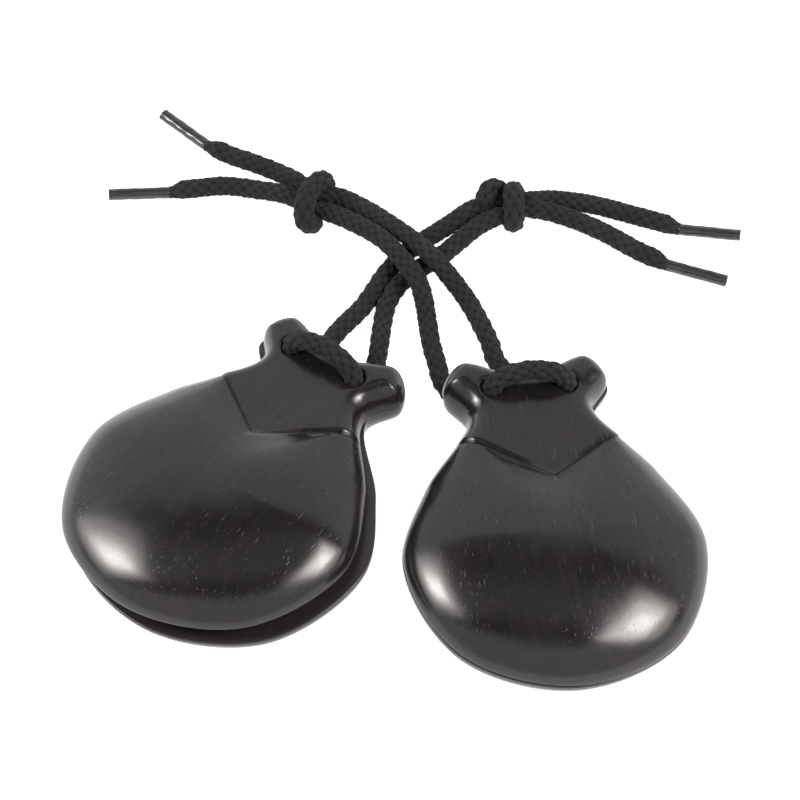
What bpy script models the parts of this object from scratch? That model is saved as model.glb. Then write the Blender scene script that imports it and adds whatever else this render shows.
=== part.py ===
"""A pair of hand castanets lying side by side, each with its cord, knot and aglets.

Units in the constants are millimetres; every mesh and curve is made in metres.
A shell is described in its own frame: u runs across it, v runs from the lip towards
the ears, and w rises from the flat sounding face to the back of the dome.
"""
import math

import bmesh
import bpy
from mathutils import Matrix, Vector
from mathutils.geometry import delaunay_2d_cdt

MM = 0.001
GAP = 0.3                     # clearance between pieces that touch

# ---------------------------------------------------------------- shell outline (u, v)
LIP = (0.0, -39.9)
FRONT = (24.3, -30.6)
WIDEST = (34.0, -7.0)
SHOULDER = (26.3, 11.8)
WAIST = (14.2, 28.6)
EAR_SIDE = (18.6, 36.7)
EAR_TIP = (14.2, 42.8)
VALLEY = (0.0, 38.4)
STEPS_PER_SPAN = 6            # outline points between two named points
RING_INSETS = (0.3, 1.1, 2.4, 4.4)
INNER_SPACING = 5.0           # spacing of the points inside the last ring
INNER_MARGIN = 2.0            # clear of the last ring

# ---------------------------------------------------------------- shell section
DOME_HEIGHT = 12.6
DOME_REACH = 32.0             # how far in from the rim the dome keeps rising
DOME_POWER = 2.05             # section of the dome, from rim to crown
NECK_HEIGHT = 7.3
NECK_REACH = 4.4
NECK_POWER = 2.2              # section of the neck's edge
STEP_DROP = 0.8               # the neck stands this much over the body at the chevron
STEP_WIDTH = 0.8
RISE_LENGTH = 17.0            # from the chevron to the full height of the dome
CHEVRON_TIP_V = 10.4
CHEVRON_SLOPE = 0.673
CHEVRON_REACH = 15.2          # the chevron's mesh edges end this far across

# ---------------------------------------------------------------- hollow and cord holes
HOLLOW_CENTRE_V = -8.0
HOLLOW_RADII = (23.5, 25.0, 7.6)
HOLLOW_TAPER = 0.30           # the hollow narrows towards the neck
HOLE_U = 8.5
HOLE_V = 33.6
HOLE_RADIUS = 2.4
COUNTERSINK_OUTER = 2.2       # depth of the hole's flare on a lower shell
COUNTERSINK_UPPER = 0.7       # the same on an upper shell

# ---------------------------------------------------------------- where the castanets lie
HINGE_V = EAR_TIP[1]
LEFT = {"name": "left", "place": (-33.4, 4.0), "height": 13.02, "yaw": -34.7,
        "pitch": 0.7, "roll": -5.8, "open": 2.6, "twist": 4.3, "shift": 1.3,
        "body_scale": 1.012, "chevron_shift": -1.4}
RIGHT = {"name": "right", "place": (36.7, -7.1), "height": 13.0, "yaw": 8.0,
         "pitch": -0.4, "roll": 5.0, "open": 0.0, "twist": -0.6, "shift": -0.5,
         "body_scale": 0.985, "chevron_shift": 1.6}

# ---------------------------------------------------------------- cords
CORD_RADIUS = 2.0
CORD_Z = 2.15                 # height of a cord's middle where it lies on the table
OVER_Z = 6.6                  # height of a cord's middle where it crosses two others
AGLET_RADIUS = 1.35
AGLET_LENGTH = 13.6
AGLET_Z = 1.6
AGLET_CLEARANCE = 0.5
ROUTE_SPACING = 7.0
KNOT_CLEARANCE = 0.8
KNOT_LEAD_IN = 2.0
LOOP_SPACING = 2.2
BEND_RADIUS = 3.1             # of the cord's middle, where it turns onto the table
LOOP_TOP = 11.9               # height of the cord's middle at the top of the hand loop
LOOP_LEAN = 0.9               # the loop leans this far towards the ears
LOOP_SIDE = ((0.0, 0.0, GAP), (0.0, 0.0, 4.0), (0.1, 0.0, 7.3), (-0.5, 0.2, 9.3),
             (-2.4, 0.5, 11.0), (-5.4, 0.8, 11.8))   # (u, v, w) from a hole to the crown

# Cord routes on the table, (x, y, z), from under the neck to the knot and from the knot to
# the aglets.  The point next to a knot gives the direction in which the cord meets it.
LEFT_LEG_A = [(-11.4, 51.8, CORD_Z), (-5.1, 59.7, CORD_Z), (0.4, 69.3, CORD_Z),
              (4.6, 74.6, CORD_Z), (9.1, 78.5, CORD_Z), (14.6, 82.7, 2.4), (20.3, 87.0, 3.2)]
LEFT_LEG_B = [(-1.8, 45.2, CORD_Z), (-0.7, 54.1, CORD_Z), (0.4, 60.2, CORD_Z),
              (3.2, 65.8, CORD_Z), (8.0, 70.4, CORD_Z), (13.4, 74.4, CORD_Z),
              (17.6, 78.6, 2.4), (22.6, 81.6, 3.2)]
RIGHT_LEG_A = [(13.1, 38.6, CORD_Z), (11.8, 43.8, CORD_Z), (10.5, 49.4, CORD_Z),
               (9.7, 55.2, 2.6), (8.8, 60.0, 5.0), (6.9, 64.3, OVER_Z), (3.2, 69.9, OVER_Z),
               (-0.5, 74.5, OVER_Z), (-5.2, 79.9, 4.8), (-11.1, 84.2, 3.2)]
RIGHT_LEG_B = [(25.5, 44.1, CORD_Z), (23.9, 49.6, CORD_Z), (21.5, 55.8, CORD_Z),
               (19.0, 61.0, 2.6), (15.0, 65.9, 5.0), (10.8, 70.5, OVER_Z), (5.3, 76.2, OVER_Z),
               (1.4, 80.3, 5.8), (-2.8, 85.6, 3.6), (-11.0, 91.5, 3.2)]
LEFT_KNOT = {"centre": (27.1, 87.1, 4.75), "radii": (5.2, 6.4, 4.6), "turn": 25.0}
RIGHT_KNOT = {"centre": (-17.1, 88.0, 4.75), "radii": (4.3, 7.3, 4.6), "turn": -12.0}
LEFT_TAIL_A = [(32.6, 93.1, 3.2), (39.0, 92.4, 2.4), (47.8, 89.6, CORD_Z),
               (59.4, 85.6, CORD_Z), (68.6, 82.1, CORD_Z)]
LEFT_TAIL_B = [(34.2, 86.6, 3.2), (41.0, 86.0, 2.3), (49.9, 80.7, CORD_Z),
               (59.0, 75.2, CORD_Z), (65.4, 71.8, CORD_Z)]
RIGHT_TAIL_A = [(-20.8, 97.0, 3.2), (-24.8, 99.0, 2.4), (-30.7, 100.7, CORD_Z),
                (-36.7, 103.1, CORD_Z), (-42.2, 106.6, CORD_Z)]
RIGHT_TAIL_B = [(-23.3, 91.0, 3.2), (-29.4, 93.8, 2.3), (-37.6, 93.4, CORD_Z),
                (-44.6, 93.5, CORD_Z), (-50.7, 92.8, CORD_Z)]
LEFT_AGLET_A_END = (82.7, 80.4)
LEFT_AGLET_B_END = (79.0, 67.3)
RIGHT_AGLET_A_END = (-52.4, 115.6)
RIGHT_AGLET_B_END = (-64.7, 92.2)


# ================================================================= scene and helpers
def clear_scene():
    for old in list(bpy.data.objects):
        bpy.data.objects.remove(old, do_unlink=True)


def new_collection(name):
    made = bpy.data.collections.new(name)
    bpy.context.scene.collection.children.link(made)
    return made


def new_material(name, color, roughness, metallic=0.0):
    made = bpy.data.materials.new(name)
    made.use_nodes = True
    shader = made.node_tree.nodes["Principled BSDF"]
    shader.inputs["Base Color"].default_value = (*color, 1.0)
    shader.inputs["Roughness"].default_value = roughness
    shader.inputs["Metallic"].default_value = metallic
    made.diffuse_color = (*color, 1.0)
    return made


def new_object(name, data, collection, material):
    made = bpy.data.objects.new(name, data)
    collection.objects.link(made)
    if material:
        data.materials.append(material)
    return made


def catmull_rom(points, closed, steps):
    """Points on a centripetal Catmull-Rom curve through the given 2D or 3D points."""
    nodes = [Vector(p) for p in points]
    count = len(nodes)
    if not closed:
        nodes = [2 * nodes[0] - nodes[1]] + nodes + [2 * nodes[-1] - nodes[-2]]
    spans = range(count) if closed else range(1, count)
    curve = []
    for i in spans:
        p = [nodes[(i + k) % len(nodes)] for k in (-1, 0, 1, 2)]
        t = [0.0]
        for a, b in zip(p, p[1:]):
            t.append(t[-1] + math.sqrt((b - a).length))
        for step in range(steps):
            x = t[1] + (t[2] - t[1]) * step / steps
            a = [p[k] * ((t[k + 1] - x) / (t[k + 1] - t[k]))
                 + p[k + 1] * ((x - t[k]) / (t[k + 1] - t[k])) for k in range(3)]
            b = [a[k] * ((t[k + 2] - x) / (t[k + 2] - t[k]))
                 + a[k + 1] * ((x - t[k]) / (t[k + 2] - t[k])) for k in range(2)]
            curve.append(b[0] * ((t[2] - x) / (t[2] - t[1])) + b[1] * ((x - t[1]) / (t[2] - t[1])))
    if not closed:
        curve.append(nodes[-2])
    return curve


def smoothstep(x):
    x = min(max(x, 0.0), 1.0)
    return x * x * (3.0 - 2.0 * x)


# ================================================================= shells
def shell_outline(body_scale, steps):
    """Closed outline, anticlockwise; the body is scaled across, the neck is not."""
    body = [(u * body_scale, v) for u, v in (LIP, FRONT, WIDEST, SHOULDER)]
    half = body + [WAIST, EAR_SIDE, EAR_TIP, VALLEY]
    mirrored = [(-u, v) for u, v in half[-2:0:-1]]
    return catmull_rom(half + mirrored, True, steps)


def distance_to(loop, point):
    best = 1e9
    for a, b in zip(loop, loop[1:] + loop[:1]):
        side = b - a
        t = min(max((point - a).dot(side) / side.length_squared, 0.0), 1.0)
        best = min(best, (point - a - side * t).length)
    return best


def edge_profile(distance, reach, power):
    x = 1.0 - min(distance / reach, 1.0)
    return (1.0 - x ** power) ** (1.0 / power)


def chevron_v(u, tip_u):
    """Height up the shell of the V-shaped step that ends the neck."""
    return CHEVRON_TIP_V + CHEVRON_SLOPE * abs(u - tip_u)


def back_height(point, distance, tip_u):
    """Height of a shell's outer surface over its sounding face."""
    ahead = (chevron_v(point.x, tip_u) - point.y) * math.cos(math.atan(CHEVRON_SLOPE))
    rise = smoothstep(ahead / RISE_LENGTH)
    low = NECK_HEIGHT - STEP_DROP
    body = (low + (DOME_HEIGHT - low) * rise) * edge_profile(
        distance, NECK_REACH + (DOME_REACH - NECK_REACH) * rise,
        NECK_POWER + (DOME_POWER - NECK_POWER) * rise)
    neck = NECK_HEIGHT * edge_profile(distance, NECK_REACH, NECK_POWER)
    step = smoothstep(ahead / STEP_WIDTH)
    return neck + (body - neck) * step


def inside(loop, point):
    hit = False
    for a, b in zip(loop, loop[1:] + loop[:1]):
        if (a.y > point.y) != (b.y > point.y):
            if point.x < a.x + (b.x - a.x) * (point.y - a.y) / (b.y - a.y):
                hit = not hit
    return hit


def inset_ring(outline, fine, inset):
    """The outline moved inwards, without the points that the ears' curves would cross."""
    ring = []
    count = len(outline)
    for i, here in enumerate(outline):
        along = outline[(i + 1) % count] - outline[i - 1]
        inward = Vector((-along.y, along.x)).normalized()
        moved = here + inward * inset
        if inside(fine, moved) and distance_to(fine, moved) > inset * 0.97:
            ring.append(moved)
    return ring


def shell_blank(body_scale, tip_u):
    """Solid shell before its hollow and holes: a back fitted over a flat sounding face."""
    outline = shell_outline(body_scale, STEPS_PER_SPAN)
    fine = shell_outline(body_scale, STEPS_PER_SPAN * 4)
    points = list(outline)
    edges = [(i, (i + 1) % len(outline)) for i in range(len(outline))]
    for inset in RING_INSETS:
        ring = inset_ring(outline, fine, inset)
        start = len(points)
        points += ring
        edges += [(start + i, start + (i + 1) % len(ring)) for i in range(len(ring))]
    for offset in (0.0, -STEP_WIDTH / math.cos(math.atan(CHEVRON_SLOPE))):
        start = len(points)
        points += [Vector((u, chevron_v(u, tip_u) + offset))
                   for u in (-CHEVRON_REACH, tip_u, CHEVRON_REACH)]
        edges += [(start, start + 1), (start + 1, start + 2)]
    row = 0
    v = LIP[1]
    while v < VALLEY[1]:
        u = LIP[1] + (row % 2) * INNER_SPACING / 2
        while u < -LIP[1]:
            spot = Vector((u, v))
            if inside(fine, spot) and distance_to(fine, spot) > RING_INSETS[-1] + INNER_MARGIN:
                points.append(spot)
            u += INNER_SPACING
        v += INNER_SPACING * 0.866
        row += 1
    flat, _, faces, _, _, _ = delaunay_2d_cdt(points, edges, [list(range(len(outline)))],
                                              1, 1e-5, True)
    mesh = bmesh.new()
    top = []
    for p in flat:
        spot = Vector(p)
        distance = distance_to(fine, spot)
        height = 0.0 if distance < 0.02 else back_height(spot, distance, tip_u)
        top.append(mesh.verts.new((p[0] * MM, (p[1] - HINGE_V) * MM, height * MM)))
    for face in faces:
        middle = sum((Vector(flat[i]) for i in face), Vector((0, 0))) / 3
        if inside(outline, middle):
            mesh.faces.new([top[i] for i in face])
    loose = [v for v in mesh.verts if not v.link_faces]
    bmesh.ops.delete(mesh, geom=loose, context="VERTS")
    rim = [e for e in mesh.edges if e.is_boundary]
    bmesh.ops.holes_fill(mesh, edges=rim, sides=0)
    bmesh.ops.recalc_face_normals(mesh, faces=mesh.faces)
    return mesh


def hollow_cutter(collection, name):
    """Bowl that the sounding face is hollowed with, narrowing towards the neck."""
    mesh = bmesh.new()
    bmesh.ops.create_uvsphere(mesh, u_segments=28, v_segments=14, radius=1.0)
    for vertex in mesh.verts:
        taper = 1.0 - HOLLOW_TAPER * max(vertex.co.y, 0.0)
        vertex.co.x *= HOLLOW_RADII[0] * taper * MM
        vertex.co.y = (vertex.co.y * HOLLOW_RADII[1] + HOLLOW_CENTRE_V - HINGE_V) * MM
        vertex.co.z *= HOLLOW_RADII[2] * MM
    return as_cutter(mesh, collection, name)


def hole_cutter(collection, name, side, flare):
    """Straight cord hole that opens out at the back of the neck."""
    mesh = bmesh.new()
    bmesh.ops.create_cone(mesh, cap_ends=True, segments=20, radius1=HOLE_RADIUS * MM,
                          radius2=HOLE_RADIUS * MM, depth=4 * NECK_HEIGHT * MM)
    flare_mesh = bmesh.new()
    depth = flare + 2.0
    bmesh.ops.create_cone(flare_mesh, cap_ends=True, segments=20, radius1=HOLE_RADIUS * MM,
                          radius2=(HOLE_RADIUS + depth) * MM, depth=depth * MM)
    bmesh.ops.translate(flare_mesh, verts=flare_mesh.verts,
                        vec=(0, 0, (NECK_HEIGHT - flare + depth / 2) * MM))
    pieces = []
    for piece, suffix in ((mesh, "_bore"), (flare_mesh, "_flare")):
        bmesh.ops.translate(piece, verts=piece.verts,
                            vec=(side * HOLE_U * MM, (HOLE_V - HINGE_V) * MM, 0))
        pieces.append(as_cutter(piece, collection, name + suffix))
    return pieces


def as_cutter(mesh, collection, name):
    data = bpy.data.meshes.new(name)
    mesh.to_mesh(data)
    mesh.free()
    made = new_object(name, data, collection, None)
    made.hide_render = True
    made.display_type = "WIRE"
    return made


def shell_matrix(castanet, upper):
    """Place of a shell: its origin is the middle of the hinge line along the ear tips."""
    turn = (Matrix.Rotation(math.radians(castanet["yaw"]), 4, "Z")
            @ Matrix.Rotation(math.radians(castanet["pitch"]), 4, "X")
            @ Matrix.Rotation(math.radians(castanet["roll"]), 4, "Y"))
    x, y = castanet["place"]
    place = Matrix.Translation(Vector((x, y, castanet["height"])) * MM)
    hinge = Matrix.Translation(Vector((0, HINGE_V, 0)) * MM)
    if upper:
        own = (Matrix.Translation((castanet["shift"] * MM, 0, 0))
               @ Matrix.Rotation(math.radians(-castanet["open"]), 4, "X")
               @ Matrix.Translation((0, 0, GAP / 2 * MM)))
    else:
        own = (Matrix.Rotation(math.radians(castanet["twist"]), 4, "Z")
               @ Matrix.Translation((0, 0, -GAP / 2 * MM)))
    return place @ turn @ hinge @ own


def make_shell(castanet, upper, parts, cutters, material):
    name = castanet["name"] + ("_upper_shell" if upper else "_lower_shell")
    mesh = shell_blank(castanet["body_scale"], castanet["chevron_shift"])
    data = bpy.data.meshes.new(name)
    mesh.to_mesh(data)
    mesh.free()
    shell = new_object(name, data, parts, material)
    flare = COUNTERSINK_UPPER if upper else COUNTERSINK_OUTER
    tools = [hollow_cutter(cutters, name + "_hollow_cutter")]
    for side in (-1, 1):
        tools += hole_cutter(cutters, "%s_hole_cutter_%d" % (name, side + 1), side, flare)
    for tool in tools:
        cut = shell.modifiers.new(tool.name, "BOOLEAN")
        cut.operation = "DIFFERENCE"
        cut.solver = "EXACT"
        cut.object = tool
        tool.parent = shell
    place = shell_matrix(castanet, upper)
    if not upper:
        place = place @ Matrix.Scale(-1.0, 4, (0, 0, 1))
    shell.matrix_world = place
    data.shade_smooth()
    data.set_sharp_from_angle(angle=math.radians(35))
    return shell


# ================================================================= cords
def even_points(points, spacing):
    """Points at even spacing along a smooth curve through the route's points."""
    curve = catmull_rom(points, False, 24)
    lengths = [0.0]
    for a, b in zip(curve, curve[1:]):
        lengths.append(lengths[-1] + (b - a).length)
    count = max(2, round(lengths[-1] / spacing))
    even = []
    index = 0
    for step in range(count + 1):
        target = lengths[-1] * step / count
        while index < len(lengths) - 2 and lengths[index + 1] < target:
            index += 1
        part = (target - lengths[index]) / (lengths[index + 1] - lengths[index])
        even.append(curve[index].lerp(curve[index + 1], min(part, 1.0)))
    return even


def make_tube(name, points, radius, collection, material):
    curve = bpy.data.curves.new(name, "CURVE")
    curve.dimensions = "3D"
    spline = curve.splines.new("POLY")
    spline.points.add(len(points) - 1)
    for slot, point in zip(spline.points, points):
        slot.co = (point[0] * MM, point[1] * MM, point[2] * MM, 1.0)
    curve.bevel_depth = radius * MM
    curve.bevel_resolution = 2
    curve.use_fill_caps = True
    return new_object(name, curve, collection, material)


def make_loop(castanet, shell, parts, material):
    """Hand loop: the cord rises out of one hole and goes back into the other."""
    half = [(HOLE_U + u, HOLE_V + v, w) for u, v, w in LOOP_SIDE]
    crown = [(0.0, HOLE_V + LOOP_LEAN, LOOP_TOP)]
    route = half + crown + [(-u, v, w) for u, v, w in reversed(half)]
    points = [(u, v - HINGE_V, w) for u, v, w in even_points(route, LOOP_SPACING)]
    loop = make_tube(castanet["name"] + "_cord_loop", points, CORD_RADIUS, parts, material)
    loop.parent = shell
    return loop


def make_leg(castanet, letter, side, route, parts, material):
    """Cord from the sounding face down through the lower shell and along the table."""
    place = shell_matrix(castanet, False)

    def spot(w):
        return place @ (Vector((side * HOLE_U, HOLE_V - HINGE_V, -w)) * MM) / MM

    mouth = spot(NECK_HEIGHT)
    heading = Vector((route[0][0] - mouth.x, route[0][1] - mouth.y, 0)).normalized()
    centre_z = CORD_Z + BEND_RADIUS
    down = [spot(GAP), spot(3.0)]
    bend = []
    for degrees in (0, 22, 45, 67, 90):
        turn = math.radians(degrees)
        bend.append(Vector((mouth.x, mouth.y, 0)) + heading * BEND_RADIUS * (1 - math.cos(turn))
                    + Vector((0, 0, centre_z - BEND_RADIUS * math.sin(turn))))
    run = even_points([bend[-1]] + [Vector(p) for p in route], ROUTE_SPACING)
    return make_tube("%s_cord_leg_%s" % (castanet["name"], letter), down + bend + run[1:],
                     CORD_RADIUS, parts, material)


def knot_port(knot, toward):
    """Last points of a cord that comes from the given point and meets the knot squarely."""
    centre = Vector(knot["centre"])
    line = Vector(toward) - centre
    turned = Matrix.Rotation(math.radians(-knot["turn"]), 3, "Z") @ line
    reach = 1.0 / math.sqrt(sum((t / r) ** 2 for t, r in zip(turned, knot["radii"])))
    end = centre + line * reach + line.normalized() * KNOT_CLEARANCE
    return [end + line.normalized() * KNOT_LEAD_IN, end]


def make_knot(name, knot, parts, material):
    """Outer shape of the overhand knot that ties the two ends together."""
    mesh = bmesh.new()
    bmesh.ops.create_uvsphere(mesh, u_segments=18, v_segments=10, radius=MM)
    bmesh.ops.scale(mesh, verts=mesh.verts, vec=knot["radii"])
    data = bpy.data.meshes.new(name)
    mesh.to_mesh(data)
    mesh.free()
    data.shade_smooth()
    made = new_object(name, data, parts, material)
    made.location = Vector(knot["centre"]) * MM
    made.rotation_euler = (0, 0, math.radians(knot["turn"]))
    return made


def make_aglet(name, tail_end, tip, parts, material):
    """Plastic sleeve on a cord end, a plain rod with softened rims."""
    start = Vector((tail_end[0], tail_end[1], AGLET_Z))
    heading = (Vector((tip[0], tip[1], AGLET_Z)) - start).normalized()
    middle = start + heading * (AGLET_CLEARANCE + AGLET_LENGTH / 2)
    mesh = bmesh.new()
    bmesh.ops.create_cone(mesh, cap_ends=True, segments=14, radius1=AGLET_RADIUS * MM,
                          radius2=AGLET_RADIUS * MM, depth=AGLET_LENGTH * MM)
    data = bpy.data.meshes.new(name)
    mesh.to_mesh(data)
    mesh.free()
    data.shade_smooth()
    data.set_sharp_from_angle(angle=math.radians(50))
    made = new_object(name, data, parts, material)
    made.location = middle * MM
    made.rotation_mode = "QUATERNION"
    made.rotation_quaternion = heading.to_track_quat("Z", "Y")
    soften = made.modifiers.new("rims", "BEVEL")
    soften.width = 0.2 * MM
    soften.segments = 1
    soften.limit_method = "ANGLE"
    return made


# ================================================================= assembly
def make_castanet(castanet, cords, parts, cutters, wood, cotton, film):
    name = castanet["name"]
    knot = cords["knot"]
    upper = make_shell(castanet, True, parts, cutters, wood)
    make_shell(castanet, False, parts, cutters, wood)
    make_loop(castanet, upper, parts, cotton)
    for letter, side, leg, tail, tip in cords["strands"]:
        make_leg(castanet, letter, side, leg[:-1] + knot_port(knot, leg[-1]), parts, cotton)
        out = even_points(knot_port(knot, tail[0])[::-1] + tail[1:], ROUTE_SPACING)
        make_tube("%s_cord_tail_%s" % (name, letter), out, CORD_RADIUS, parts, cotton)
        make_aglet("%s_aglet_%s" % (name, letter), tail[-1], tip, parts, film)
    make_knot(name + "_cord_knot", knot, parts, cotton)


def main():
    clear_scene()
    parts = new_collection("castanets")
    cutters = new_collection("cutters")
    wood = new_material("ebony", (0.018, 0.016, 0.017), 0.32)
    cotton = new_material("black_cotton", (0.016, 0.015, 0.018), 0.9)
    film = new_material("smoky_film", (0.16, 0.17, 0.18), 0.3)
    make_castanet(LEFT, {"knot": LEFT_KNOT, "strands": (
        ("a", -1, LEFT_LEG_A, LEFT_TAIL_A, LEFT_AGLET_A_END),
        ("b", 1, LEFT_LEG_B, LEFT_TAIL_B, LEFT_AGLET_B_END))},
        parts, cutters, wood, cotton, film)
    make_castanet(RIGHT, {"knot": RIGHT_KNOT, "strands": (
        ("a", 1, RIGHT_LEG_B, RIGHT_TAIL_A, RIGHT_AGLET_A_END),
        ("b", -1, RIGHT_LEG_A, RIGHT_TAIL_B, RIGHT_AGLET_B_END))},
        parts, cutters, wood, cotton, film)


main()
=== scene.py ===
"""Looks of the pair of castanets: ebony shells, braided cotton cords, knots and aglets.

Millimetres in the constants, metres in Blender.  A shell's own frame has u across it,
v from the lip to the ears and w from the flat sounding face to the back of the dome.
"""

import math

import bpy
import numpy as np
from mathutils import Matrix, Vector
from mathutils.geometry import delaunay_2d_cdt


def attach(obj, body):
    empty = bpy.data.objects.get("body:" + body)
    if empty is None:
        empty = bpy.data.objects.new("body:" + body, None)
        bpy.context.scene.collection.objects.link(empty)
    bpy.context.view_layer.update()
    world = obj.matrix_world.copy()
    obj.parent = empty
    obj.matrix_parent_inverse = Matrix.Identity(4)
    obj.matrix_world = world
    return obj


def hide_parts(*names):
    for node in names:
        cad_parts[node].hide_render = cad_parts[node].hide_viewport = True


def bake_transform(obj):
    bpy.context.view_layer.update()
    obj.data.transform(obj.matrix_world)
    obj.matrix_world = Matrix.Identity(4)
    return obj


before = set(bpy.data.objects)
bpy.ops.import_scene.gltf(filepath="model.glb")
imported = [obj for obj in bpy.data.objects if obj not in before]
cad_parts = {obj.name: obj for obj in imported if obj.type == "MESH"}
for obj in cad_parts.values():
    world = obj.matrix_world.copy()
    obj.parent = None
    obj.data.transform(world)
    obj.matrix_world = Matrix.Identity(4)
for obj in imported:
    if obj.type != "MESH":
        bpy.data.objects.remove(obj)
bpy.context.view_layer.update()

MM = 0.001

# ---------- camera
AIM = (3.4, 35.4, 0.0)
CAMERA_DISTANCE = 900.0
CAMERA_ELEVATION = 56.31      # degrees over the table
CAMERA_LENS = 178.6
CAMERA_SENSOR = 36.0

# ---------- shells
HALF_OUTLINE = ((0.0, -39.9), (24.3, -30.6), (34.0, -7.0), (26.3, 11.8),
                (14.2, 28.6), (18.6, 36.7), (14.2, 42.8), (0.0, 38.4))
BODY_POINTS = 4               # the first points of the outline belong to the body
HINGE_V = 42.8
GAP = 0.3                     # between the sounding faces of a closed castanet
DOME_HEIGHT = 12.6
DOME_REACH = 32.0             # the dome is full this far in from the outline
DOME_POWER = 2.05             # 2 is an ellipse, more is squarer
DOME_MIDDLE_V = -8.0          # a dome that leans is higher behind this line, lower ahead
LEAN_RANGE = (-32.0, 12.0)    # the lean stops growing this far ahead and behind
LEAN_LENGTH = 40.0
NECK_HEIGHT = 7.3
NECK_REACH = 4.8
NECK_POWER = 2.2
CHEVRON_TIP_V = 10.4
CHEVRON_SLOPE = 0.673
CHEVRON_SLANT = math.cos(math.atan(CHEVRON_SLOPE))
STEP_DROP = 0.55
STEP_WIDTH = 1.35             # the plateau rolls off over this width
STEP_FOOT = 0.22              # and ends in a sharp foot this wide
FOOT_SHARE = 0.14             # share of the drop that the foot takes
SOFT_STEP = 8.0               # a faint arm's step is spread over this width
RISE_LENGTH = 18.0
RISE_EARLY = 0.5              # share of the rise that starts at once at the step
RISE_ROUNDING = 6.0           # rounds the point of the V in the rise below the step
RISE_TRUE_AT = 12.0           # the rounded V crosses the sharp one this far from its tip
RIM_RADIUS = 0.32             # rounding between the sounding face and the side
RIM_FADE = 1.2                # the side's lift over that rounding fades in this height
GROOVE_DEPTH = 0.16           # shallow groove below the chevron's step
GROOVE_WIDTH = 0.85
GROOVE_AT = 1.7
SHADE_LINE_AT = 1.35              # painted shade: a dull line of weaker reflection at the foot of the step
SHADE_LINE_WIDTH = 0.42
HOLLOW_CENTRE_V = -8.0
HOLLOW_RADII = (23.5, 25.0, 7.6)
HOLLOW_TAPER = 0.30           # the hollow narrows by this share toward the neck
HOLE_U = 8.5
HOLE_V = 33.6
HOLE_RADIUS = 2.4
FLARE_UPPER = 0.4             # countersink of the cord holes
FLARE_LOWER = 2.2
FLARE_MARGIN = 0.5            # the countersink is this much wider than deep
FLARE_POWER = 1.6
# Where a castanet's (u, v, w) origin lies and how it is turned, how far its upper shell is open
# and shifted, how its lower shell is twisted, and how sharp each arm of its V is.
LEFT = {"name": "left", "place": (-33.4, 4.0, 13.02), "yaw": -34.7, "pitch": 0.7,
        "roll": -5.8, "open": 2.6, "twist": 4.3, "shift": 1.3, "body_scale": 1.012,
        "chevron_shift": -1.4, "arms": (0.8, 1.0), "lean": 0.12, "seed": 3}
RIGHT = {"name": "right", "place": (36.7, -7.1, 13.0), "yaw": 8.0, "pitch": -0.4,
         "roll": 5.0, "open": 0.0, "twist": -0.6, "shift": -0.5, "body_scale": 0.985,
         "chevron_shift": 1.6, "arms": (1.0, 0.85), "lean": 0.0, "seed": 11}

# ---------- shells, their mesh lines
OUTLINE_STEP = 0.62
FINE_STEPS = 40               # curve points between two outline points
INNER_STEP = 0.85             # mesh of the back
FACE_STEP = 1.3               # mesh of the sounding face
RIM_INSETS = (0.012, 0.04, 0.09, 0.17, 0.28, 0.44, 0.66, 0.95, 1.3, 1.75, 2.3, 2.95, 3.7, 4.5)
FACE_INSETS = (0.03, 0.1, 0.2, 0.32)
STEP_LINES = (-0.15, 0.0, 0.15, 0.3, 0.45, 0.6, 0.75, 0.9, 1.05, 1.25, 1.5, 1.8, 2.15, 2.6)
STEP_LINE_END_U = 21.0
STEP_LINE_POINTS = 70         # along each arm
STEP_LINE_MARGIN = 0.8        # kept clear of the outline
HOLE_POINTS = 48
HOLE_COLLARS = (0.12, 0.3, 0.55, 0.9)
HOLE_MARGIN = 0.05
HOLLOW_RINGS = (1.0, 0.998, 0.99, 0.975, 0.95, 0.915, 0.87, 0.82)
HOLLOW_POINTS = 170
BACK_MARGIN = 0.3             # the loose points start this far in from the last rim line
FACE_MARGIN = 1.0
BACK_SPOT_GAP = 0.38          # loose points stay this far from the lines
FACE_SPOT_GAP = 0.5
ON_OUTLINE = 2e-3             # nearer points count as lying on the outline
ROW_RATIO = 0.866             # height of an equilateral triangle over its side
BATCH = 4000                  # points measured at a time

# ---------- cords
CORD_RADIUS = 2.0
CORD_Z = 2.3
OVER_Z = 6.9                  # a cord that lies on another
BEND_RADIUS = 3.1             # from a hole onto the table
BEND_ANGLES = (0, 22, 45, 67, 90)
# The hand loop over the upper shell: its crown, and how it leaves the +u hole as (u, v, w) from
# the hole's middle.
LOOP_TOP = 11.4
LOOP_LEAN = 0.9
LOOP_SIDE = ((0.0, 0.0, 4.0), (-0.2, 0.0, 7.2), (-1.3, 0.2, 9.3), (-3.5, 0.4, 10.8),
             (-6.0, 0.6, 11.3))
CURVE_STEPS = 30              # curve points between two route points
CENTRE_STEP = 0.2             # spacing of a cord's cross-sections
AROUND = 72                   # points round a cross-section
BRAID_PITCH = 18.0            # a bundle goes once round the cord in this length
BUNDLES = 6                   # bundles that run each way round
YARNS = 4                     # yarns side by side in a bundle
BUNDLE_RISE = 0.46            # from a bundle's edge to its middle
BUNDLE_ROUNDNESS = 0.96
CROSSING_RISE = 0.26          # over and under where two bundles cross
YARN_RISE = 0.07
YARN_POWER = 0.7
DARK_BELOW = 0.8 * (BUNDLE_RISE + 2 * CROSSING_RISE)   # the relief's depth where no light gets
RELIEF_LIFT = 0.32            # how far the highest bundles stand out from the cord's radius
KNOT_STRAND_RADIUS = 1.45     # a strand where a knot squeezes it
KNOT_CORE = 1.5               # fully squeezed this near the knot's middle
KNOT_REACH = 5.0              # and no more this far from it
KNOT_STRAND_Z = 4.7
HELD_RUN = 2.5                # length on the table that still counts as held

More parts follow.
